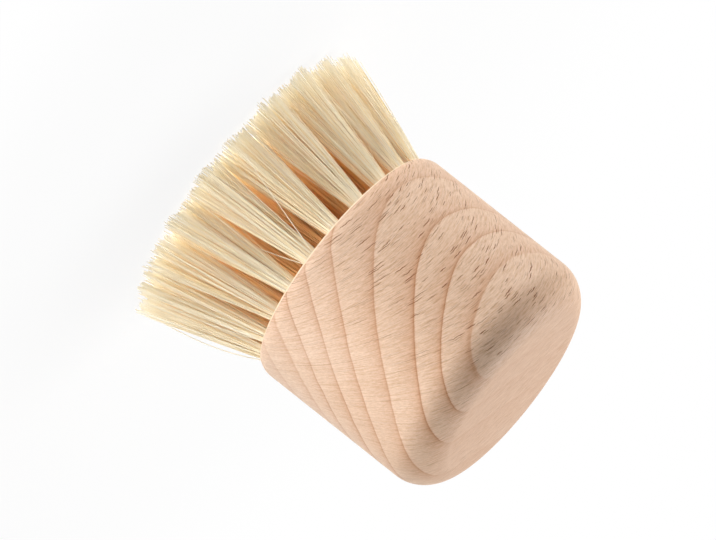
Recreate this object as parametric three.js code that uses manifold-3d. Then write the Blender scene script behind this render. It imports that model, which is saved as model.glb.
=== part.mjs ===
// Round pot brush standing on its bristle tips: a turned beech block, fibre tufts set in
// drilled holes, and the flat wire anchors that hold each folded tuft.
// Millimetres, +Z up, z = 0 at the trimmed tips, -Y is the front.

import * as THREE from 'three';
import { mergeVertices } from 'three/addons/utils/BufferGeometryUtils.js';
import Module from 'manifold-3d';

const wasm = await Module();
wasm.setup();

// Turned block
const blockDiameter = 55;
const blockHeight = 44.4;
const endFillet = 8.1; // rounding of the handle end
const edgeRound = 4.6; // arc that draws the side in towards the drilled face
const edgeRoundHeight = 3; // height over the face where that arc starts

// Fibre tufts
const bristleLength = 27.1; // drilled face to trimmed tips
const tuftDiameter = 3.9; // where a tuft leaves its hole
const tipGap = 0.5; // between neighbouring tufts at the tips
const outerLean = 11.5; // degrees, outermost tufts; the inner rings lean in proportion
const foldThickness = 1.2; // fibres that pass under the anchor

// Drilled holes
const holeDepth = 12; // along the hole's axis, to the start of the drill point
const drillPointAngle = 118; // degrees
const edgeLand = 0.4; // wood between the outer holes and the edge of the face
const fitGap = 0.3; // all round a tuft or an anchor

// Flat wire anchors
const anchorThickness = 0.5;
const anchorHeight = 2;
const anchorBite = 0.6; // into the wood at each end

// Rings of holes from the axis outwards, with the azimuth of the first hole, degrees right of the front
const rings = [
  { name: 'centre', count: 1, firstAzimuth: 0 },
  { name: 'inner', count: 6, firstAzimuth: 26 },
  { name: 'middle', count: 12, firstAzimuth: -4 },
  { name: 'outer', count: 20, firstAzimuth: 8.3 },
];
const anchoredRing = 'outer'; // the ring whose anchors are modelled here

// Facets
const blockFacets = 84;
const filletFacets = 8;
const edgeFacets = 4;
const tuftFacets = 12;

const blockRadius = blockDiameter / 2;
const holeRadius = tuftDiameter / 2 + fitGap;
const faceRadius = blockRadius - edgeRound + Math.sqrt(edgeRound ** 2 - edgeRoundHeight ** 2);
const totalHeight = bristleLength + blockHeight;
const outerRing = rings.length - 1;
const leanStep = THREE.MathUtils.degToRad(outerLean) / outerRing;
const ringPitch = (faceRadius - edgeLand - holeRadius / Math.cos(leanStep * outerRing)) / outerRing;
const foldEnd = holeDepth - fitGap; // depth of a tuft's fold
const anchorDepth = foldEnd - foldThickness - fitGap - anchorHeight / 2; // depth of an anchor's middle
const anchorLength = 2 * (holeRadius + anchorBite);
const outerTipRadius = ringPitch * outerRing + bristleLength * Math.tan(leanStep * outerRing);
const tipPitch = 2 * Math.PI * outerTipRadius / rings[outerRing].count;
const tuftTipRadius = (tipPitch - tipGap) / 2;

const beech = new THREE.MeshStandardMaterial({ color: 0xd9b38c, roughness: 0.62, metalness: 0 });
const fibre = new THREE.MeshStandardMaterial({ color: 0xe6d3a3, roughness: 0.8, metalness: 0 });
const wire = new THREE.MeshStandardMaterial({ color: 0xa8a6a0, roughness: 0.35, metalness: 1 });

// Closed geometry to a solid that can be cut, without the needle faces at a lathe's poles
function toSolid(geometry) {
  const bare = geometry.clone();
  bare.deleteAttribute('normal');
  bare.deleteAttribute('uv');
  const merged = mergeVertices(bare);
  const index = merged.index.array;
  const triangles = [];
  for (let i = 0; i < index.length; i += 3) {
    const [a, b, c] = [index[i], index[i + 1], index[i + 2]];
    if (a !== b && b !== c && c !== a) {
      triangles.push(a, b, c);
    }
  }
  return new wasm.Manifold(new wasm.Mesh({
    numProp: 3,
    vertProperties: new Float32Array(merged.attributes.position.array),
    triVerts: new Uint32Array(triangles),
  }));
}

function toGeometry(solid) {
  const mesh = solid.getMesh();
  const geometry = new THREE.BufferGeometry();
  geometry.setAttribute('position', new THREE.BufferAttribute(mesh.vertProperties, 3));
  geometry.setIndex(new THREE.BufferAttribute(mesh.triVerts, 1));
  geometry.computeVertexNormals();
  return geometry;
}

// Outline points (radius, height) turned about Z, from the lower end upwards
function turned(outline, facets) {
  const points = outline.map(([radius, height]) => new THREE.Vector2(radius, height));
  return new THREE.LatheGeometry(points, facets).rotateX(Math.PI / 2);
}

function arcPoints(centreRadius, centreHeight, radius, fromAngle, toAngle, facets) {
  const points = [];
  for (let i = 0; i <= facets; i += 1) {
    const angle = fromAngle + (toAngle - fromAngle) * i / facets;
    points.push([centreRadius + radius * Math.cos(angle), centreHeight + radius * Math.sin(angle)]);
  }
  return points;
}

// Pose of a hole in its ring's frame: x outwards, the hole's mouth at the face, its axis leaning in
// towards the top; local z runs up the hole
function holePose(ring) {
  const pose = new THREE.Matrix4().makeRotationY(-leanStep * ring);
  pose.setPosition(ringPitch * ring, 0, bristleLength);
  return pose;
}

function azimuthOf(ring, copy) {
  const { count, firstAzimuth } = rings[ring];
  return THREE.MathUtils.degToRad(firstAzimuth - 90 + 360 * copy / count);
}

// Drilled hole with its drill point, open past the face, and the cut that an anchor bites on either side
function holeCutter() {
  const pointHeight = holeRadius / Math.tan(THREE.MathUtils.degToRad(drillPointAngle) / 2);
  const overrun = holeRadius * Math.tan(leanStep * outerRing) + fitGap;
  const drill = toSolid(turned(
    [[0, -overrun], [holeRadius, -overrun], [holeRadius, holeDepth], [0, holeDepth + pointHeight]],
    tuftFacets,
  ));
  const bite = new THREE.BoxGeometry(
    anchorLength + 2 * fitGap,
    anchorThickness + 2 * fitGap,
    anchorHeight + 2 * fitGap,
  );
  return drill.add(toSolid(bite.translate(0, 0, anchorDepth)));
}

function blockGeometry() {
  const faceAngle = Math.asin(edgeRoundHeight / edgeRound);
  const outline = [
    [0, 0],
    ...arcPoints(blockRadius - edgeRound, edgeRoundHeight, edgeRound, -faceAngle, 0, edgeFacets),
    ...arcPoints(blockRadius - endFillet, blockHeight - endFillet, endFillet, 0, Math.PI / 2, filletFacets),
    [0, blockHeight],
  ];
  let block = toSolid(turned(outline, blockFacets).translate(0, 0, bristleLength));
  const cutter = holeCutter();
  rings.forEach(({ count }, ring) => {
    for (let copy = 0; copy < count; copy += 1) {
      const turn = new THREE.Matrix4().makeRotationZ(azimuthOf(ring, copy));
      block = block.subtract(cutter.transform(turn.multiply(holePose(ring)).elements));
    }
  });
  return toGeometry(block);
}

// Folded bundle: rounded fold in the hole, straight to the mouth, then spreading to the tips, with a
// window through the fold for the anchor and the tips trimmed level
function tuftGeometry(ring) {
  const rootRadius = tuftDiameter / 2;
  const reach = bristleLength / Math.cos(leanStep * ring) + tuftTipRadius;
  const flare = (tuftTipRadius - rootRadius) * Math.cos(leanStep * ring) / bristleLength;
  const bundle = toSolid(turned(
    [[0, -reach], [rootRadius + flare * reach, -reach], [rootRadius, 0],
      [rootRadius, foldEnd - foldThickness], [rootRadius - foldThickness / 2, foldEnd], [0, foldEnd]],
    tuftFacets,
  ));
  const window = new THREE.BoxGeometry(
    2 * tuftDiameter,
    anchorThickness + 2 * fitGap,
    anchorHeight + 2 * fitGap,
  );
  const folded = bundle.subtract(toSolid(window.translate(0, 0, anchorDepth)));
  const trim = new THREE.BoxGeometry(4 * blockDiameter, 4 * blockDiameter, 2 * blockDiameter);
  const belowTips = toSolid(trim.translate(0, 0, -blockDiameter));
  return toGeometry(folded.transform(holePose(ring).elements).subtract(belowTips));
}

function pieceName(kind, ring, copy) {
  const { name, count } = rings[ring];
  const number = String(copy + 1).padStart(2, '0');
  return count > 1 ? `${kind}_${name}_${number}` : `${kind}_${name}`;
}

function addPiece(parent, name, geometry, material) {
  const mesh = new THREE.Mesh(geometry, material);
  mesh.name = name;
  parent.add(mesh);
  return mesh;
}

const brush = new THREE.Group();
addPiece(brush, 'handle_block', blockGeometry(), beech);

const anchorBar = new THREE.BoxGeometry(anchorLength, anchorThickness, anchorHeight);
rings.forEach(({ name, count }, ring) => {
  const bundle = tuftGeometry(ring);
  for (let copy = 0; copy < count; copy += 1) {
    const station = new THREE.Group();
    station.rotation.z = azimuthOf(ring, copy);
    addPiece(station, pieceName('tuft', ring, copy), bundle, fibre);
    if (name === anchoredRing) {
      const anchor = addPiece(station, pieceName('anchor', ring, copy), anchorBar, wire);
      anchor.applyMatrix4(holePose(ring).multiply(new THREE.Matrix4().makeTranslation(0, 0, anchorDepth)));
    }
    brush.add(station);
  }
});

export default brush;
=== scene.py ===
import math
import random

import bmesh
import bpy
import numpy as np
from mathutils import Matrix, Quaternion, Vector


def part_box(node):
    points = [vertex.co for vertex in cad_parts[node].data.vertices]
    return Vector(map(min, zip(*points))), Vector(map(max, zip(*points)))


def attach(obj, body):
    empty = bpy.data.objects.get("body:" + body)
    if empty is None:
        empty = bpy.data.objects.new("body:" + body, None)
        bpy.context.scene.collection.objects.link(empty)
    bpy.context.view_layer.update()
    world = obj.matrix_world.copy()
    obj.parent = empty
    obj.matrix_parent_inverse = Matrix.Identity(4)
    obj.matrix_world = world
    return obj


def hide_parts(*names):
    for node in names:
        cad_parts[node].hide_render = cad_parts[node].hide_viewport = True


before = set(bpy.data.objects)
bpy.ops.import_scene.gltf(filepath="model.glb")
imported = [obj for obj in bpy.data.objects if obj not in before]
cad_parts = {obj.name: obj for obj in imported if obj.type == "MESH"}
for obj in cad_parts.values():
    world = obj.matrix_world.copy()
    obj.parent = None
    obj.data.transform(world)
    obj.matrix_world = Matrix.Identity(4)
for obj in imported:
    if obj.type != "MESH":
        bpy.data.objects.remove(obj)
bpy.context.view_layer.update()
scene = bpy.context.scene
scene.view_settings.view_transform = "Standard"
scene.cycles.diffuse_bounces = 36  # pale fibres pass light on many times
scene.cycles.max_bounces = 40

mm = 0.001
blockLow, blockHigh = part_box("handle_block")
faceHeight = blockLow.z  # drilled face, over the trimmed tips at z = 0
endHeight = blockHigh.z  # flat end of the handle
blockRadius = (blockHigh.x - blockLow.x) / 2


# camera

cameraView = {
    "elevation": 14.0,  # degrees above the tips' plane
    "roll": 128.36,  # the brush is laid out tilted in the picture
    "distance": 4.0,
    "clipEnd": 20,
    "pictureWidth": 716,
    "pixelsPerMm": 4.905,  # on the brush's axis
    "aimRight": -0.5 * mm,  # middle of the picture, from the axis
    "aimOverFace": 3.35 * mm,
}


def makeCamera(view):
    lift = math.radians(view["elevation"])
    back = Vector((0, -math.cos(lift), math.sin(lift)))
    aim = Vector((view["aimRight"], 0, faceHeight + view["aimOverFace"]))
    data = bpy.data.cameras.new("brushCamera")
    spread = view["pictureWidth"] / view["pixelsPerMm"] * mm
    data.lens = data.sensor_width * view["distance"] / spread
    data.clip_end = view["clipEnd"]
    camera = bpy.data.objects.new("brushCamera", data)
    scene.collection.objects.link(camera)
    camera.rotation_mode = "QUATERNION"
    camera.location = aim + back * view["distance"]
    level = (-back).to_track_quat("-Z", "Y")
    camera.rotation_quaternion = level @ Quaternion((0, 0, 1), math.radians(view["roll"]))
    scene.camera = camera


makeCamera(cameraView)
print("camera set")


# node helpers

def newMaterial(name):
    material = bpy.data.materials.new(name)
    material.use_nodes = True
    tree = material.node_tree
    return material, tree, tree.nodes["Principled BSDF"]


def plug(tree, socket, value):
    if isinstance(value, bpy.types.NodeSocket):
        tree.links.new(value, socket)
    elif value is not None:
        socket.default_value = value


def sums(tree, operation, a, b=None, c=None, clamp=False):
    node = tree.nodes.new("ShaderNodeMath")
    node.operation = operation
    node.use_clamp = clamp
    for socket, value in zip(node.inputs, (a, b, c)):
        plug(tree, socket, value)
    return node.outputs[0]


def times(tree, a, b):
    return sums(tree, "MULTIPLY", a, b)


def timesPlus(tree, a, b, c, clamp=False):
    return sums(tree, "MULTIPLY_ADD", a, b, c, clamp)


def vectorSums(tree, operation, a, b=None, scale=None):
    node = tree.nodes.new("ShaderNodeVectorMath")
    node.operation = operation
    plug(tree, node.inputs[0], a)
    if operation == "SCALE":
        plug(tree, node.inputs["Scale"], scale)
    else:
        plug(tree, node.inputs[1], b)
    return node.outputs["Value" if operation in ("DOT_PRODUCT", "LENGTH") else "Vector"]


def joined(tree, x, y, z):
    node = tree.nodes.new("ShaderNodeCombineXYZ")
    for socket, value in zip(node.inputs, (x, y, z)):
        plug(tree, socket, value)
    return node.outputs[0]


def stretched(tree, ways, size):
    return joined(tree, *(times(tree, way, share) for way, share in zip(ways, size)))


def placeInMm(tree):
    place = tree.nodes.new("ShaderNodeTexCoord").outputs["Object"]
    return vectorSums(tree, "SCALE", place, scale=1 / mm)


def attributeAt(tree, name):
    node = tree.nodes.new("ShaderNodeAttribute")
    node.attribute_name = name
    return node.outputs["Fac"]


def noiseAt(tree, place, scale=1.0, detail=2.0, rough=0.5):
    node = tree.nodes.new("ShaderNodeTexNoise")
    plug(tree, node.inputs["Vector"], place)
    node.inputs["Scale"].default_value = scale
    node.inputs["Detail"].default_value = detail
    node.inputs["Roughness"].default_value = rough
    return node.outputs["Fac"]


def stepped(tree, value, low, high, toLow=0.0, toHigh=1.0):
    node = tree.nodes.new("ShaderNodeMapRange")
    node.interpolation_type = "SMOOTHSTEP"
    names = ("Value", "From Min", "From Max", "To Min", "To Max")
    for name, number in zip(names, (value, low, high, toLow, toHigh)):
        plug(tree, node.inputs[name], number)
    return node.outputs["Result"]


def mixed(tree, share, a, b, blend="MIX", kind="RGBA"):
    node = tree.nodes.new("ShaderNodeMix")
    node.data_type = kind
    node.blend_type = blend
    for name, value in zip(("Factor", "A", "B"), (share, a, b)):
        plug(tree, node.inputs[name], value)
    return node.outputs["Result"]


def tinted(tree, share, colour, tint):
    return mixed(tree, share, colour, tint, "MULTIPLY")


def shaded(tree, colour, level):
    return tinted(tree, 1.0, colour, joined(tree, level, level, level))


def bumped(tree, shader, height, strength, distance):
    bump = tree.nodes.new("ShaderNodeBump")
    bump.inputs["Strength"].default_value = strength
    bump.inputs["Distance"].default_value = distance
    plug(tree, bump.inputs["Height"], height)
    plug(tree, shader.inputs["Normal"], bump.outputs["Normal"])


def seenRays(tree):
    rays = tree.nodes.new("ShaderNodeLightPath").outputs
    mirrored = sums(tree, "MAXIMUM", rays["Is Glossy Ray"], rays["Is Transmission Ray"])
    return sums(tree, "MAXIMUM", rays["Is Camera Ray"], mirrored)


# a colour as a screen gives it, turned to light
def srgb(red, green, blue):
    def linear(level):
        share = level / 255
        return share / 12.92 if share <= 0.04045 else ((share + 0.055) / 1.055) ** 2.4
    return (linear(red), linear(green), linear(blue), 1.0)


# beech, one solid figure through the whole block
# a step is two numbers, from and to, or four, with what it gives before and after instead of 0 and 1

beechFigure = {
    "pith": (62.4, 58.5, -76.9),  # mm from the middle of the drilled face
    "fibreAzimuth": 52.0,  # degrees right of the front
    "fibreRise": 9.7,
    "earlyWood": srgb(232, 202, 177),
    "lateWood": srgb(200, 146, 108),
    "ringLine": srgb(158, 98, 56),
    # painted sheen, laid on the side of the block towards the pith
    "paintedSheenTint": srgb(238, 215, 196),
    "rayFleck": srgb(128, 70, 24),
    "poreTint": (0.86, 0.77, 0.68, 1),
    "sheetTint": (0.9, 0.84, 0.77, 1),
    "paintedEdgeHighlight": srgb(250, 232, 208),  # painted highlight: paler where the corner round the drilled face catches light from below
    "specular": 0.2,
    "bump": (0.25, 0.06 * mm),  # strength, depth
}
ringFigure = {
    "radii": (  # mm from the pith
        90, 95.5, 100.5, 105, 110.4, 116.9, 121.4, 126.9, 132.4, 139.2, 146.1, 151.2, 156.3, 165, 172),
    "yearEnd": 0.06,  # mm from a year's darkest wood to the palest of the next
    "waves": (  # stretch along the fibres, waves per mm, mm to and fro
        (0.35, 0.07, 1.4),
        (0.3, 0.9, 0.21),
    ),
    "latePower": 3.0,  # the higher, the later in the year
    "linePower": 22.0,
    "thinPower": 40.0,
    "yearParts": (0.12, 0.52, 0.4),  # late wood that comes evenly, late, and in the line
    "fade": (-16, 16, 0.35, 1.0),  # mm along the fibres, and how strong the rings show
    "onFlatEnd": (0.75, 0.99, 0.0, 0.8),  # the flat end blurs to one level
    "flatEndLevel": 0.3,
    "thinOnFlatEnd": (0.75, 0.99, 0.5, 0.05),
    "relief": -0.3,  # share of the bump's depth
}
sheenPatchFigure = {
    "cells": 0.055,  # per mm
    "reach": -40,  # mm that a patch can reach out
    "share": (125, 80, 0.0, 0.6),  # mm from the pith
}
poreFigure = {
    "cells": (0.28, 6.2, 0.9),  # per mm along the fibres, round the rings and across them
    "cellsOnRays": (0.28, 0.9, 6.2),
    "detail": 3.0,
    "rough": 0.65,
    "dark": (0.28, 0.62, 0.8, 0.0),
    "light": (0.5, 0.72, 1.0, 1.05),
    "speckleCells": 2.6,
    "speckleRough": 0.6,
    "speckle": (0.3, 0.7, 0.96, 1.03),
    "roughness": (0.2, 0.8, 0.62, 0.48),
    "relief": 0.35,
}
rayFigure = {
    "onRays": (0.5, 0.8),  # how far the surface lies flat on the rays
    "sheetCells": (0.55, 5.5, 0.11),
    "sheets": (0.4, 0.72),
    "flecks": (  # shift in mm, cells per mm along and across, share left plain, strongest
        (0.0, (0.21, 4.0), 0.66, 0.95),
        (31.7, (0.26, 4.3), 0.45, 0.36),
    ),
    "crook": (0.9, 0.35),  # bends per mm, mm
    "slide": 17.0,  # cells that one row can lie ahead of another
    "halfLong": (0.2, 0.46),  # shares of a cell
    "halfWide": 0.32,
    "softEdge": (0.25, 1.0, 1.0, 0.0),
    "onEndGrain": (0.35, 0.95, 1.0, 0.25),
    "onFlatEnd": (0.8, 0.98, 1.0, 0.35),
    "relief": -0.3,
}
# painted highlight on the corner round the drilled face, found by which way the surface faces
edgeHighlightFigure = {
    "fromFace": (-0.98, -0.9),  # how far the surface faces up
    "toSide": (-0.72, -0.6, 1.0, 0.0),
    "share": 0.8,
}


def beechGrain(tree):
    azimuth = math.radians(beechFigure["fibreAzimuth"])
    rise = math.radians(beechFigure["fibreRise"])
    fibreWay = Vector((
        math.sin(azimuth) * math.cos(rise),
        -math.cos(azimuth) * math.cos(rise),
        math.sin(rise)))
    sideWay = Vector((math.cos(azimuth), math.sin(azimuth), 0))
    upWay = fibreWay.cross(sideWay)
    pith = Vector(beechFigure["pith"]) + Vector((0, 0, faceHeight / mm))
    inMm = placeInMm(tree)
    fromPith = vectorSums(tree, "SUBTRACT", inMm, tuple(pith))
    facing = tree.nodes.new("ShaderNodeTexCoord").outputs["Normal"]
    along, across, over = (
        vectorSums(tree, "DOT_PRODUCT", fromPith, tuple(way)) for way in (fibreWay, sideWay, upWay))
    endGrain, facingSide, facingUp = (
        vectorSums(tree, "DOT_PRODUCT", facing, tuple(way)) for way in (fibreWay, sideWay, upWay))
    radius = sums(tree, "SQRT", timesPlus(tree, over, over, times(tree, across, across)))
    meanRadius = sum(ringFigure["radii"]) / len(ringFigure["radii"])
    arc = times(tree, sums(tree, "ARCTAN2", across, over), meanRadius)
    turned = sums(tree, "SUBTRACT", times(tree, over, facingSide), times(tree, across, facingUp))
    return {
        "inMm": inMm,
        "along": along,
        "arc": arc,
        "radius": radius,
        "ways": (along, arc, radius),
        "endGrain": sums(tree, "ABSOLUTE", endGrain),
        "flatEnd": vectorSums(tree, "DOT_PRODUCT", facing, (0, 0, 1)),
        "onRays": stepped(tree, sums(tree, "DIVIDE", turned, radius), *rayFigure["onRays"]),
    }


# how far the year has gone: 0 after a ring's line, 1 at the next
def yearShare(tree, grain):
    waved = grain["radius"]
    for stretch, perMm, sway in ringFigure["waves"]:
        wave = noiseAt(tree, stretched(tree, grain["ways"], (stretch, 1, 1)), perMm)
        waved = timesPlus(tree, sums(tree, "SUBTRACT", wave, 0.5), sway, waved)
    radii = ringFigure["radii"]
    span = radii[-1] - radii[0]
    ramp = tree.nodes.new("ShaderNodeValToRGB")
    plug(tree, ramp.inputs[0], sums(tree, "DIVIDE", sums(tree, "SUBTRACT", waved, radii[0]), span))
    stops = ramp.color_ramp.elements
    early, late = (0, 0, 0, 1), (1, 1, 1, 1)
    stops[0].position = 0
    stops[0].color = early
    stops[1].position = 1
    stops[1].color = late
    for ring in radii[1:-1]:
        share = (ring - radii[0]) / span
        stops.new(share).color = late
        stops.new(share + ringFigure["yearEnd"] / span).color = early
    return ramp.outputs["Color"]


# pale early wood darkens slowly, then quickly to the line that ends the year
def ringColour(tree, grain, year, line):
    evenPart, latePart, linePart = ringFigure["yearParts"]
    late = sums(tree, "POWER", year, ringFigure["latePower"])
    share = timesPlus(tree, year, evenPart, times(tree, late, latePart))
    share = timesPlus(tree, line, linePart, share, clamp=True)
    fading = stepped(tree, grain["along"], *ringFigure["fade"])
    share = times(tree, share, fading)
    blur = stepped(tree, grain["flatEnd"], *ringFigure["onFlatEnd"])
    share = mixed(tree, blur, share, ringFigure["flatEndLevel"], kind="FLOAT")
    colour = mixed(tree, share, beechFigure["earlyWood"], beechFigure["lateWood"])
    thin = sums(tree, "POWER", year, ringFigure["thinPower"])
    thin = times(tree, thin, stepped(tree, grain["flatEnd"], *ringFigure["thinOnFlatEnd"]))
    return mixed(tree, times(tree, thin, fading), colour, beechFigure["ringLine"])


# painted sheen: paler and whiter towards the pith, in uneven patches, which puts it on the lit right side
# of the block
def sheenPatchColour(tree, grain, colour):
    patch = noiseAt(tree, grain["inMm"], sheenPatchFigure["cells"], detail=1.0)
    patch = timesPlus(tree, patch, sheenPatchFigure["reach"], grain["radius"])
    return mixed(tree, stepped(tree, patch, *sheenPatchFigure["share"]), colour, beechFigure["paintedSheenTint"])


# where the surface lies flat on the rays, the pores run across the rings
def poreNoise(tree, grain):
    around, onRays = (
        noiseAt(
            tree, stretched(tree, grain["ways"], poreFigure[cells]),
            detail=poreFigure["detail"], rough=poreFigure["rough"])
        for cells in ("cells", "cellsOnRays"))
    return mixed(tree, grain["onRays"], around, onRays, kind="FLOAT")


def poreColour(tree, grain, colour, pores):
    colour = tinted(tree, stepped(tree, pores, *poreFigure["dark"]), colour, beechFigure["poreTint"])
    colour = shaded(tree, colour, stepped(tree, pores, *poreFigure["light"]))
    speckle = noiseAt(tree, grain["inMm"], poreFigure["speckleCells"], rough=poreFigure["speckleRough"])
    return shaded(tree, colour, stepped(tree, speckle, *poreFigure["speckle"]))


# one layer of dashes: rows round the rings, cells along them, at most one dash in a cell
def fleckLayer(tree, along, crooked, layer):
    shift, (cellsAlong, cellsAcross), plainShare, strongest = layer
    rowAt = times(tree, sums(tree, "ADD", crooked, shift), cellsAcross)
    row = sums(tree, "FLOOR", rowAt)
    slide = tree.nodes.new("ShaderNodeTexWhiteNoise")
    slide.noise_dimensions = "1D"
    plug(tree, slide.inputs["W"], row)
    cellAt = timesPlus(tree, slide.outputs["Value"], rayFigure["slide"], times(tree, along, cellsAlong))
    pick = tree.nodes.new("ShaderNodeTexWhiteNoise")
    pick.noise_dimensions = "2D"
    plug(tree, pick.inputs["Vector"], joined(tree, row, sums(tree, "FLOOR", cellAt), 0.0))
    own = tree.nodes.new("ShaderNodeSeparateColor")
    plug(tree, own.inputs[0], pick.outputs["Color"])
    strong = stepped(tree, own.outputs[0], plainShare, 1.0, 0.0, strongest)
    halfLong = stepped(tree, own.outputs[1], 0.0, 1.0, *rayFigure["halfLong"])
    offAlong, offAcross = (
        sums(tree, "DIVIDE", sums(tree, "SUBTRACT", sums(tree, "FRACT", at), 0.5), half)
        for at, half in ((cellAt, halfLong), (rowAt, rayFigure["halfWide"])))
    away = timesPlus(tree, offAlong, offAlong, times(tree, offAcross, offAcross))
    return times(tree, strong, stepped(tree, away, *rayFigure["softEdge"]))


def rayFlecks(tree, grain, offRays):
    bends, sway = rayFigure["crook"]
    crooked = timesPlus(tree, noiseAt(tree, grain["inMm"], bends), sway, grain["arc"])
    first, second = (fleckLayer(tree, grain["along"], crooked, layer) for layer in rayFigure["flecks"])
    fleck = sums(tree, "MAXIMUM", first, second)
    fleck = times(tree, fleck, stepped(tree, grain["endGrain"], *rayFigure["onEndGrain"]))
    fleck = times(tree, fleck, stepped(tree, grain["flatEnd"], *rayFigure["onFlatEnd"]))
    return times(tree, fleck, offRays)


# thin sheets from the pith: fine lines, and where the surface cuts them, short dashes
def rayColour(tree, grain, colour, fleck, offRays):
    sheets = noiseAt(tree, stretched(tree, grain["ways"], rayFigure["sheetCells"]), detail=1.0)
    sheetShare = times(tree, stepped(tree, sheets, *rayFigure["sheets"]), offRays)
    colour = tinted(tree, sheetShare, colour, beechFigure["sheetTint"])
    return mixed(tree, fleck, colour, beechFigure["rayFleck"])


# painted highlight: the downward-facing corner round the drilled face is made paler, as if lit from below
def edgeHighlightColour(tree, grain, colour):
    toSide = stepped(tree, grain["flatEnd"], *edgeHighlightFigure["toSide"])
    corner = times(tree, toSide, stepped(tree, grain["flatEnd"], *edgeHighlightFigure["fromFace"]))
    return mixed(tree, times(tree, corner, edgeHighlightFigure["share"]), colour, beechFigure["paintedEdgeHighlight"])


def beechMaterial():
    material, tree, shader = newMaterial("beech")
    grain = beechGrain(tree)
    year = yearShare(tree, grain)
    line = sums(tree, "POWER", year, ringFigure["linePower"])
    pores = poreNoise(tree, grain)
    offRays = sums(tree, "SUBTRACT", 1.0, grain["onRays"])
    fleck = rayFlecks(tree, grain, offRays)

    colour = ringColour(tree, grain, year, line)
    colour = sheenPatchColour(tree, grain, colour)
    colour = poreColour(tree, grain, colour, pores)
    colour = rayColour(tree, grain, colour, fleck, offRays)
    colour = edgeHighlightColour(tree, grain, colour)
    plug(tree, shader.inputs["Base Color"], colour)
    plug(tree, shader.inputs["Roughness"], stepped(tree, pores, *poreFigure["roughness"]))
    shader.inputs["Specular IOR Level"].default_value = beechFigure["specular"]

    height = times(tree, line, ringFigure["relief"])
    height = timesPlus(tree, pores, poreFigure["relief"], height)
    height = timesPlus(tree, fleck, rayFigure["relief"], height)
    bumped(tree, shader, height, *beechFigure["bump"])
    return material


# plant fibre: every fibre has its own tone, with painted shade that makes it warmer and darker among the
# roots and between the tufts

fibreLook = {
    "pale": srgb(255, 247, 224),
    "straw": srgb(255, 239, 200),
    "tan": srgb(242, 203, 147),
    # painted shade: tints for fibres among the roots and in the shade between the tufts
    "deepShade": srgb(255, 233, 186),
    "root": srgb(228, 206, 184),
    "strawTones": (0.1, 0.85),
    "tanTones": (0.86, 1.0, 0.0, 0.75),
    "deepShadeSteps": (0.0, 0.7),
    "rootShadeSteps": (0.45, 0.9),
    "streakCells": 0.9,  # per mm
    "streakDetail": 3.0,
    "streakRough": 0.6,
    "streaks": (0.3, 0.7, 0.985, 1.0),
    "mottleCells": 2.5,
    "roughness": (0.2, 0.8, 0.37, 0.55),
    "specular": 0.7,
}


def fibreMaterial(look):
    material, tree, shader = newMaterial("plantFibre")
    tone, paintedShade = (attributeAt(tree, name) for name in ("fibreTone", "fibrePaintedShade"))
    colour = mixed(tree, stepped(tree, tone, *look["strawTones"]), look["pale"], look["straw"])
    colour = mixed(tree, stepped(tree, tone, *look["tanTones"]), colour, look["tan"])
    inMm = placeInMm(tree)
    streak = noiseAt(tree, inMm, look["streakCells"], look["streakDetail"], look["streakRough"])
    colour = shaded(tree, colour, stepped(tree, streak, *look["streaks"]))
    # painted shade: warmer, darker tints among the roots and in the shade between the tufts
    colour = tinted(tree, stepped(tree, paintedShade, *look["deepShadeSteps"]), colour, look["deepShade"])
    colour = tinted(tree, stepped(tree, paintedShade, *look["rootShadeSteps"]), colour, look["root"])
    plug(tree, shader.inputs["Base Color"], colour)
    mottle = noiseAt(tree, inMm, look["mottleCells"])
    plug(tree, shader.inputs["Roughness"], stepped(tree, mottle, *look["roughness"]))
    shader.inputs["Specular IOR Level"].default_value = look["specular"]
    return material


# flat anchor wire

wireLook = {
    "bright": (0.60, 0.59, 0.57, 1),
    "dull": (0.42, 0.41, 0.39, 1),
    "drawLines": (1.2, 1.2, 14.0),  # per mm
    "drawDetail": 3.0,
    "shine": (0.3, 0.7),
    "roughness": (0.42, 0.28),
    "bump": (0.3, 0.02 * mm),
}


def wireMaterial(look):
    material, tree, shader = newMaterial("anchorWire")
    lines = vectorSums(tree, "MULTIPLY", placeInMm(tree), look["drawLines"])
    drawn = noiseAt(tree, lines, detail=look["drawDetail"])
    colour = mixed(tree, stepped(tree, drawn, *look["shine"]), look["dull"], look["bright"])
    plug(tree, shader.inputs["Base Color"], colour)
    shader.inputs["Metallic"].default_value = 1.0
    plug(tree, shader.inputs["Roughness"], stepped(tree, drawn, *look["shine"], *look["roughness"]))
    bumped(tree, shader, drawn, *look["bump"])
    return material


beech = beechMaterial()
plantFibre = fibreMaterial(fibreLook)
anchorWire = wireMaterial(wireLook)
print("materials made")


# where the holes stand, and how deep the folds and anchors sit in them

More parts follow.
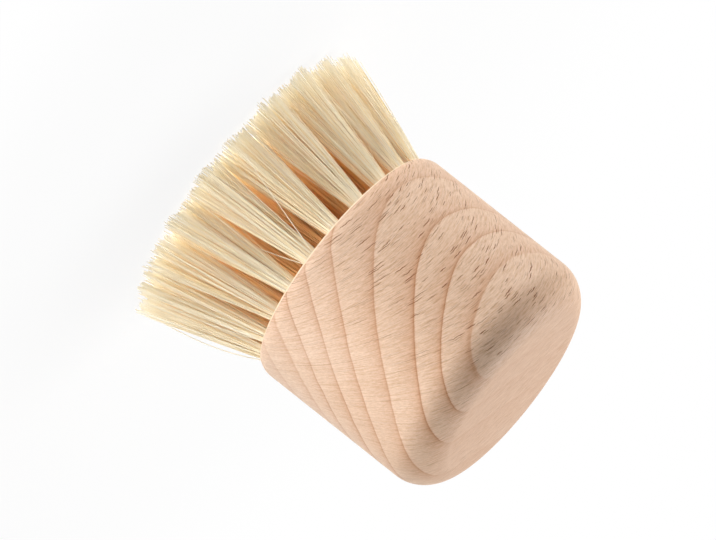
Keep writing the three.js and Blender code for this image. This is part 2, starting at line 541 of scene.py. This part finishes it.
holeSetting = {
    "rings": (  # first: degrees right of the front
        {"name": "centre", "count": 1, "first": 0.0},
        {"name": "inner", "count": 6, "first": 26.0},
        {"name": "middle", "count": 12, "first": -4.0},
        {"name": "outer", "count": 20, "first": 8.3},
    ),
    "outerLean": 11.5,  # degrees
    "edgeLand": 0.4 * mm,
    "radius": 2.25 * mm,
    "depth": 12 * mm,
    "drillPoint": 118,  # degrees
    "sides": 32,
}
blockShape = {
    "edgeRound": 4.6 * mm,
    "edgeRoundHeight": 3.0 * mm,
    "edgeBreak": 0.34 * mm,  # sanded corner between the side and the drilled face
    "edgeBreakHeight": 0.8,  # share of its width
    "endFillet": 8.1 * mm,
    "around": 192,
    "edgeSteps": 14,
    "sideSteps": 8,
    "filletSteps": 26,
    "sharpAngle": 28,  # degrees
}
anchorShape = {
    "thickness": 0.5 * mm,
    "height": 2.0 * mm,
    "bite": 0.6 * mm,  # into the wood at each end
    "fold": 1.2 * mm,  # thickness of the folded fibres over it
    "room": 0.3 * mm,  # under and over the fold
    "nip": 0.35,  # how much thinner the ends are
    "nipFrom": 0.6,  # share of the half length
    "nipCuts": 4,
    "edgeBreak": 0.05 * mm,
    "edgeSteps": 2,
}
outerRing = len(holeSetting["rings"]) - 1
leanStep = math.radians(holeSetting["outerLean"]) / outerRing
faceRadius = blockRadius - blockShape["edgeRound"] + math.sqrt(
    blockShape["edgeRound"] ** 2 - blockShape["edgeRoundHeight"] ** 2)
mouthRadius = holeSetting["radius"] / math.cos(leanStep * outerRing)  # along the lean
ringPitch = (faceRadius - holeSetting["edgeLand"] - mouthRadius) / outerRing
anchorLength = 2 * (holeSetting["radius"] + anchorShape["bite"])
foldEnd = holeSetting["depth"] - anchorShape["room"]
anchorDepth = foldEnd - anchorShape["fold"] - anchorShape["room"] - anchorShape["height"] / 2


def holePose(ring, copy):
    setting = holeSetting["rings"][ring]
    turn = math.radians(setting["first"] - 90 + 360 * copy / setting["count"])
    mouth = Matrix.Translation((ringPitch * ring, 0, faceHeight))
    return Matrix.Rotation(turn, 4, "Z") @ mouth @ Matrix.Rotation(-leanStep * ring, 4, "Y")


def stations():
    for ring, setting in enumerate(holeSetting["rings"]):
        name, count = setting["name"], setting["count"]
        for copy in range(count):
            tail = f"{name}_{copy + 1:02d}" if count > 1 else name
            yield ring, copy, tail


def meshFrom(work, name):
    mesh = bpy.data.meshes.new(name)
    work.to_mesh(mesh)
    work.free()
    return mesh


def newPiece(name, mesh, material, node=None):
    piece = bpy.data.objects.new(name, mesh)
    scene.collection.objects.link(piece)
    piece.data.materials.append(material)
    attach(piece, "root")
    if node:
        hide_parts(node)


# turned block

def arcOutline(centreRadius, centreHeight, radius, start, end, steps):
    for i in range(steps + 1):
        angle = start + (end - start) * i / steps
        yield centreRadius + radius * math.cos(angle), centreHeight + radius * math.sin(angle)


def turnedMesh(outline, around, name):
    work = bmesh.new()
    turns = [math.tau * i / around for i in range(around)]
    rows = []
    for radius, height in outline:
        if radius == 0:
            rows.append([work.verts.new((0, 0, height))])
            continue
        places = [(radius * math.cos(turn), radius * math.sin(turn), height) for turn in turns]
        rows.append([work.verts.new(place) for place in places])
    for low, high in zip(rows, rows[1:]):
        for i in range(around):
            j = (i + 1) % around
            corners = [low[i % len(low)], low[j % len(low)], high[j % len(high)], high[i % len(high)]]
            work.faces.new(list(dict.fromkeys(corners)))
    bmesh.ops.recalc_face_normals(work, faces=work.faces)
    return meshFrom(work, name)


def blockOutline(shape):
    edge, fillet = shape["edgeRound"], shape["endFillet"]
    sideLow = faceHeight + shape["edgeRoundHeight"]
    sideLength = endHeight - faceHeight - shape["edgeRoundHeight"] - fillet
    lowest = faceHeight + shape["edgeBreak"] * shape["edgeBreakHeight"]
    drop = math.asin(shape["edgeRoundHeight"] / edge)
    yield 0.0, faceHeight
    yield faceRadius - shape["edgeBreak"], faceHeight
    for radius, height in arcOutline(blockRadius - edge, sideLow, edge, -drop, 0, shape["edgeSteps"]):
        yield radius, max(height, lowest)
    for i in range(1, shape["sideSteps"]):
        yield blockRadius, sideLow + sideLength * i / shape["sideSteps"]
    yield from arcOutline(
        blockRadius - fillet, endHeight - fillet, fillet, 0, math.pi / 2, shape["filletSteps"])
    yield 0.0, endHeight


def drillMesh():
    radius, depth = holeSetting["radius"], holeSetting["depth"]
    point = radius / math.tan(math.radians(holeSetting["drillPoint"]) / 2)
    outline = ((0, -radius), (radius, -radius), (radius, depth), (0, depth + point))
    single = turnedMesh(outline, holeSetting["sides"], "drill")
    work = bmesh.new()
    for ring, copy, tail in stations():
        done = len(work.verts)
        work.from_mesh(single)
        work.verts.ensure_lookup_table()
        bmesh.ops.transform(work, matrix=holePose(ring, copy), verts=work.verts[done:])
    bpy.data.meshes.remove(single)
    return meshFrom(work, "drills")


def makeBlock(shape):
    turned = turnedMesh(blockOutline(shape), shape["around"], "turnedBlock")
    whole = bpy.data.objects.new("turnedBlock", turned)
    drills = bpy.data.objects.new("drills", drillMesh())
    for work in (whole, drills):
        scene.collection.objects.link(work)
    cut = whole.modifiers.new("drilled", "BOOLEAN")
    cut.operation = "DIFFERENCE"
    cut.solver = "EXACT"
    cut.object = drills
    depsgraph = bpy.context.evaluated_depsgraph_get()
    drilled = bpy.data.meshes.new_from_object(whole.evaluated_get(depsgraph))
    for work in (whole, drills):
        bpy.data.objects.remove(work)
    drilled.name = "handleBlock"
    drilled.shade_smooth()
    drilled.set_sharp_from_angle(angle=math.radians(shape["sharpAngle"]))
    drilled.materials.clear()
    newPiece("handleBlock", drilled, beech, "handle_block")


makeBlock(blockShape)
print("block turned and drilled")


# fibre tufts: each fibre is folded in half round its anchor, so it has two legs

tuftShape = {
    "folds": 130,  # fibres folded in half, so twice as many tips
    "seedStep": 1000,  # between the rings
    "rootRadius": 1.95 * mm,
    "spotTurn": 0.25,  # radians that a fibre stands off its place
    "tipRadius": 4.45 * mm,
    "tipVary": (0.9, 1.16),  # no two tufts spread alike
    "tuftDrift": 0.4 * mm,
    "splays": (  # per ring: to the axis, away, sideways
        (1, 1, 1), (1, 1, 1), (1, 0.8, 1.05), (0.6, 1.2, 1.16)),
    "fibreRadius": (0.085 * mm, 0.125 * mm),
    "tipTaper": 0.75,
    "flareCurve": 0.92,  # under 1 spreads soon after the mouth
    "clumps": 13,  # strands that hold together in one tuft
    "clumpPull": 0.5,
    "clumpDrift": 0.36 * mm,
    "clumpShort": 0.9 * mm,
    "ragged": 1.0 * mm,  # how far short of the trim the tips end
    "raggedPower": 2.2,
    "worn": 1.5 * mm,  # tips at the left end are worn shorter
    "wornFrom": 0.7,  # share of the way left
    "wornOver": 0.28,
    "wornShare": (0.6, 0.4),  # in the middle of a tuft, and more on its outside
    "wander": 0.3 * mm,
    "wanderShare": (0.6, 2.4),  # least, and more for a few
    "wanderPower": 4,
    "bow": 0.25,  # share of the wander
    "strays": 0.016,
    "strayReach": 2.4 * mm,
    "strayShort": 5.0 * mm,
    "sides": 5,
    "legSteps": 8,
    "foldSteps": 4,
    "foldRoom": 0.05 * mm,  # beside the anchor
    "foldPinch": 0.7,  # share of the depth where the legs close on the anchor
}
# painted shade between the tufts and among the roots, and the fibres' own tones fading towards the tips
tuftToneAndShade = {
    "shadeFrom": 0.91,  # share of the reach from the axis
    "shadeOver": 0.15,
    "flankShade": 0.05,
    "paintedShade": (0.04, 0.92),  # painted shade: a little outside, and more in the depth
    "paintedShadeLost": 0.95,  # share of the painted shade lost at the tip
    "toneLost": 0.7,
    "tonePower": 3,
}


def discSpots(count, radius, dice):
    golden = math.pi * (3 - math.sqrt(5))
    swing = tuftShape["spotTurn"]
    for i in range(count):
        reach = radius * math.sqrt((i + 0.5) / count)
        angle = golden * i + dice.uniform(-swing, swing)
        yield reach * math.cos(angle), reach * math.sin(angle)


def makeClumps(shape, dice):
    clumps = []
    for x, y in discSpots(shape["clumps"], shape["rootRadius"], dice):
        drift = (dice.gauss(0, shape["clumpDrift"]), dice.gauss(0, shape["clumpDrift"]))
        clumps.append((x, y, drift, shape["clumpShort"] * dice.random() ** 2))
    return clumps


def looseness(shape, stray, dice):
    if stray:
        return shape["strayReach"]
    least, more = shape["wanderShare"]
    return shape["wander"] * (least + more * dice.random() ** shape["wanderPower"])


# from the tip to just outside the mouth of the hole
def legPath(spot, tuft, dice, shape):
    x, y = spot
    spread, splays, lean = tuft["spread"], tuft["splays"], tuft["lean"]
    clumpX, clumpY, drift, short = min(
        tuft["clumps"], key=lambda clump: math.hypot(clump[0] - x, clump[1] - y))
    stray = dice.random() < shape["strays"]
    loose = looseness(shape, stray, dice)
    pull = shape["clumpPull"] * dice.random()
    tipX = (x + (clumpX - x) * pull) * spread * splays[x > 0] + drift[0] + dice.gauss(0, loose)
    tipY = (y + (clumpY - y) * pull) * spread * splays[2] + tuft["aside"] + drift[1] + dice.gauss(0, loose)
    wornMiddle, wornOutside = shape["wornShare"]
    short += shape["ragged"] * dice.random() ** shape["raggedPower"]
    short += tuft["worn"] * (wornMiddle + wornOutside * x / shape["rootRadius"])
    if stray:
        short += dice.uniform(0, shape["strayShort"])
    reach = (faceHeight - short + tipX * math.sin(lean)) / math.cos(lean)
    bowed = shape["bow"] * loose
    bowX, bowY = dice.gauss(0, bowed), dice.gauss(0, bowed)
    points = []
    for i in range(shape["legSteps"], 0, -1):
        share = i / shape["legSteps"]
        grown = share ** shape["flareCurve"]
        bow = math.sin(math.pi * share)
        points.append((
            x + (tipX - x) * grown + bowX * bow,
            y + (tipY - y) * grown + bowY * bow,
            -reach * share))
    return points


# in along one leg, over the anchor and out along the other
def foldedPath(spot, tuft, dice, shape):
    x, y = spot
    thickest = shape["fibreRadius"][1]
    gap = anchorShape["thickness"] / 2 + thickest + shape["foldRoom"]
    squeeze = 1 - gap / shape["rootRadius"]
    inner = gap + y * squeeze
    first = legPath((x, y), tuft, dice, shape)
    second = legPath((x, -y), tuft, dice, shape)
    top = anchorDepth + anchorShape["height"] / 2
    crown = min(inner, foldEnd - top - thickest)
    inside = [(x, y, 0.0), (x, inner, anchorDepth * shape["foldPinch"]), (x, inner, top)]
    turns = [math.pi * i / shape["foldSteps"] for i in range(1, shape["foldSteps"])]
    bend = [(x, inner * math.cos(turn), top + crown * math.sin(turn)) for turn in turns]
    back = [(px, -py, pz) for px, py, pz in reversed(inside)]
    return first + inside + bend + back + second[::-1]


# each fibre has its own strip of the bake layer, and each wall a part of that strip
def bakeStrips(count, rows, sides):
    wallFill = 0.9
    tipPlaces = (0.001, 0.999)
    fibre, row, side = np.meshgrid(np.arange(count), np.arange(rows - 1), np.arange(sides), indexing="ij")
    left = (fibre + side / sides) / count
    right = (fibre + (side + wallFill) / sides) / count
    bottom, top = row / (rows - 1), (row + 1) / (rows - 1)
    strips = np.stack((left, bottom, right, bottom, right, top, left, top), axis=-1).reshape(-1, 2)
    middles = np.repeat((np.arange(count) + 0.5) / count, sides)
    tips = [np.stack((middles, np.full_like(middles, place)), axis=-1) for place in tipPlaces]
    return np.concatenate((strips, *tips)).astype(np.float32)


def tubeMesh(name, paths, girths, sides):
    count, rows = paths.shape[:2]
    tangent = np.gradient(paths, axis=1)
    tangent /= np.linalg.norm(tangent, axis=2, keepdims=True)
    sideways = np.array((1.0, 0.0, 0.0)) - tangent * tangent[:, :, :1]
    sideways /= np.linalg.norm(sideways, axis=2, keepdims=True)
    third = np.cross(tangent, sideways)
    turns = (np.arange(sides) * math.tau / sides)[:, None]
    around = np.cos(turns) * sideways[:, :, None] + np.sin(turns) * third[:, :, None]
    vertices = (paths[:, :, None] + around * girths[:, :, None, None]).reshape(-1, 3)
    index = np.arange(count * rows * sides).reshape(count, rows, sides)
    low, high = index[:, :-1], index[:, 1:]
    walls = np.stack((low, np.roll(low, -1, 2), np.roll(high, -1, 2), high), axis=-1).reshape(-1, 4)
    ends = np.concatenate((index[:, 0, ::-1], index[:, -1]))
    mesh = bpy.data.meshes.new(name)
    mesh.from_pydata(vertices.tolist(), [], walls.tolist() + ends.tolist())
    layer = mesh.uv_layers.new(name="OFBake")
    layer.data.foreach_set("uv", bakeStrips(count, rows, sides).ravel())
    return mesh


# painted shade: how far into the shade between the tufts each fibre stands, and how much of that is left
# along it
def fibrePaintedShade(ring, spots, toTip, shape, tone):
    fromAxis = np.array([ringPitch * ring + x for x, y in spots])
    outwards = fromAxis / (ringPitch * outerRing + shape["rootRadius"])
    flank = np.array([y for x, y in spots]) / shape["rootRadius"]
    depth = (tone["shadeFrom"] - outwards + tone["flankShade"] * flank ** 2) / tone["shadeOver"]
    outside, more = tone["paintedShade"]
    paintedShade = outside + more * np.clip(depth, 0, 1)[:, None]
    return paintedShade * np.clip(1 - toTip * tone["paintedShadeLost"], 0, 1)


def makeTuft(ring, copy, tail, shape, tone):
    dice = random.Random(shape["seedStep"] * ring + copy)
    pose = holePose(ring, copy)
    leftwards = -pose.translation.x / (ringPitch * outerRing)
    clumps = makeClumps(shape, dice)
    thick = shape["fibreRadius"]
    places = discSpots(2 * shape["folds"], shape["rootRadius"] - thick[1], dice)
    spots = [(x, y) for x, y in places if y > 0]
    tuft = {
        "clumps": clumps,
        "lean": leanStep * ring,
        "spread": shape["tipRadius"] / shape["rootRadius"] * dice.uniform(*shape["tipVary"]),
        "splays": shape["splays"][ring],
        "aside": dice.gauss(0, shape["tuftDrift"]),
        "worn": shape["worn"] * min(1.0, max(0.0, (leftwards - shape["wornFrom"]) / shape["wornOver"])),
    }
    paths = np.array([foldedPath(spot, tuft, dice, shape) for spot in spots])
    toTip = np.clip(-paths[:, :, 2] / faceHeight, 0, 1)
    radii = np.array([dice.uniform(*thick) for spot in spots])
    girths = radii[:, None] * (1 - (1 - shape["tipTaper"]) * toTip)
    mesh = tubeMesh(f"tuft_{tail}", paths, girths, shape["sides"])
    mesh.transform(pose)
    tones = np.array([dice.random() for spot in spots])[:, None]
    tones = tones * (1 - tone["toneLost"] * toTip ** tone["tonePower"])
    paintedShade = fibrePaintedShade(ring, spots, toTip, shape, tone)
    for name, values in (("fibreTone", tones), ("fibrePaintedShade", paintedShade)):
        attribute = mesh.attributes.new(name, "FLOAT", "POINT")
        attribute.data.foreach_set("value", np.repeat(values.ravel(), shape["sides"]).astype(np.float32))
    mesh.shade_smooth()
    newPiece(f"fibreTuft_{tail}", mesh, plantFibre, f"tuft_{tail}")


for ring, copy, tail in stations():
    makeTuft(ring, copy, tail, tuftShape, tuftToneAndShade)
print("tufts set")


# anchors: short lengths of flat wire, broken edges, ends nipped to a slight wedge

def makeAnchor(ring, copy, tail, shape):
    work = bmesh.new()
    size = Matrix.Diagonal((anchorLength, shape["thickness"], shape["height"], 1))
    bmesh.ops.create_cube(work, size=1.0, matrix=Matrix.Translation((0, 0, anchorDepth)) @ size)
    half = anchorLength / 2
    lengthwise = [edge for edge in work.edges if abs((edge.verts[0].co - edge.verts[1].co).x) > half]
    bmesh.ops.subdivide_edges(work, edges=lengthwise, cuts=shape["nipCuts"], use_grid_fill=True)
    for vertex in work.verts:
        past = max(0.0, abs(vertex.co.x) / half - shape["nipFrom"]) / (1 - shape["nipFrom"])
        vertex.co.y *= 1 - shape["nip"] * past
    bmesh.ops.bevel(
        work, geom=work.edges[:], offset=shape["edgeBreak"], segments=shape["edgeSteps"], affect="EDGES")
    bmesh.ops.transform(work, matrix=holePose(ring, copy), verts=work.verts)
    mesh = meshFrom(work, f"anchor_{tail}")
    mesh.shade_smooth()
    node = f"anchor_{tail}" if ring == outerRing else None
    newPiece(f"wireAnchor_{tail}", mesh, anchorWire, node)


for ring, copy, tail in stations():
    makeAnchor(ring, copy, tail, anchorShape)
print("anchors set")


# floor and light

floorLook = {
    "size": 8.0,
    "cells": 8,
    "drop": 0.4 * mm,
    "colour": (0.88, 0.88, 0.88, 1),
    "roughness": 0.9,
    "seen": (1, 1, 1, 1),
    "shadow": 0.1,  # share of the shading that shows near the brush
    "shadowEnds": (0.11, 0.24),  # metres from the axis, where that share fades out
}
aimHeight = 0.03  # of the lamps, in metres
onAxis = {"azimuth": 0, "reach": 0}
strip = {"reach": 0.3, "height": 0.03, "size": (0.1, 0.05)}
softbox = {"size": (0.45, 0.45)}
# azimuth in degrees right of the front; reach from the axis, height and size in metres; watts
# the tables lie one over the other, between the floor and the tips
lamps = {
    "lightTable": {**onAxis, "height": -0.0003, "size": (0.6, 0.6), "power": 0.2},
    "tableUnder": {**onAxis, "height": -0.00015, "size": (0.11, 0.11), "power": 0.0055, "shape": "ELLIPSE"},
    "tableMiddle": {**onAxis, "height": -0.0001, "size": (0.06, 0.06), "power": 0.0095, "shape": "ELLIPSE"},
    "tableFront": {
        "azimuth": 0, "reach": 0.16, "height": -0.0002, "size": (0.22, 0.22), "power": 0.125, "flat": True},
    "frontStrip": {"azimuth": 0, **strip, "power": 0.13},
    "rightStrip": {"azimuth": 60, **strip, "power": 0.39},
    "leftStrip": {"azimuth": -90, **strip, "power": 0.32},
    "leftSoftbox": {"azimuth": -150, "reach": 0.573, "height": 0.763, **softbox, "power": 5.0},
    "topSoftbox": {"azimuth": 180, "reach": 0.465, "height": 0.835, **softbox, "power": 4.15},
}


def floorMaterial(look):
    material, tree, shader = newMaterial("whiteFloor")
    shader.inputs["Base Color"].default_value = look["colour"]
    shader.inputs["Roughness"].default_value = look["roughness"]
    shader.inputs["Specular IOR Level"].default_value = 0.0
    glow = tree.nodes.new("ShaderNodeEmission")
    glow.inputs["Color"].default_value = look["seen"]
    fromAxis = vectorSums(tree, "LENGTH", tree.nodes.new("ShaderNodeTexCoord").outputs["Object"])
    plain = stepped(tree, fromAxis, *look["shadowEnds"], 1 - look["shadow"], 1.0)
    blend = tree.nodes.new("ShaderNodeMixShader")
    plug(tree, blend.inputs[0], times(tree, seenRays(tree), plain))
    plug(tree, blend.inputs[1], shader.outputs[0])
    plug(tree, blend.inputs[2], glow.outputs[0])
    plug(tree, tree.nodes["Material Output"].inputs["Surface"], blend.outputs[0])
    return material


def makeFloor(look):
    work = bmesh.new()
    bmesh.ops.create_grid(work, x_segments=look["cells"], y_segments=look["cells"], size=look["size"] / 2)
    mesh = meshFrom(work, "floor")
    mesh.materials.append(floorMaterial(look))
    floor = bpy.data.objects.new("floor", mesh)
    scene.collection.objects.link(floor)
    floor.location.z = -look["drop"]


def makeLamp(name, lamp):
    azimuth = math.radians(lamp["azimuth"])
    reach = lamp["reach"]
    place = Vector((math.sin(azimuth) * reach, -math.cos(azimuth) * reach, lamp["height"]))
    data = bpy.data.lights.new(name, "AREA")
    data.shape = lamp.get("shape", "RECTANGLE")
    data.size, data.size_y = lamp["size"]
    data.energy = lamp["power"]
    lampObject = bpy.data.objects.new(name, data)
    scene.collection.objects.link(lampObject)
    lampObject.visible_camera = False
    lampObject.location = place
    lampObject.rotation_mode = "QUATERNION"
    way = Vector((0, 0, 1)) if lamp.get("flat") else Vector((0, 0, aimHeight)) - place
    lampObject.rotation_quaternion = way.to_track_quat("-Z", "Y")


# white where it is seen, and no light from it
def makeWorld():
    world = bpy.data.worlds.new("studio")
    world.use_nodes = True
    scene.world = world
    tree = world.node_tree
    light = tree.nodes["Background"]
    light.inputs["Color"].default_value = (1, 1, 1, 1)
    plug(tree, light.inputs["Strength"], seenRays(tree))


makeFloor(floorLook)
for name, lamp in lamps.items():
    makeLamp(name, lamp)
makeWorld()
print("floor and light set")
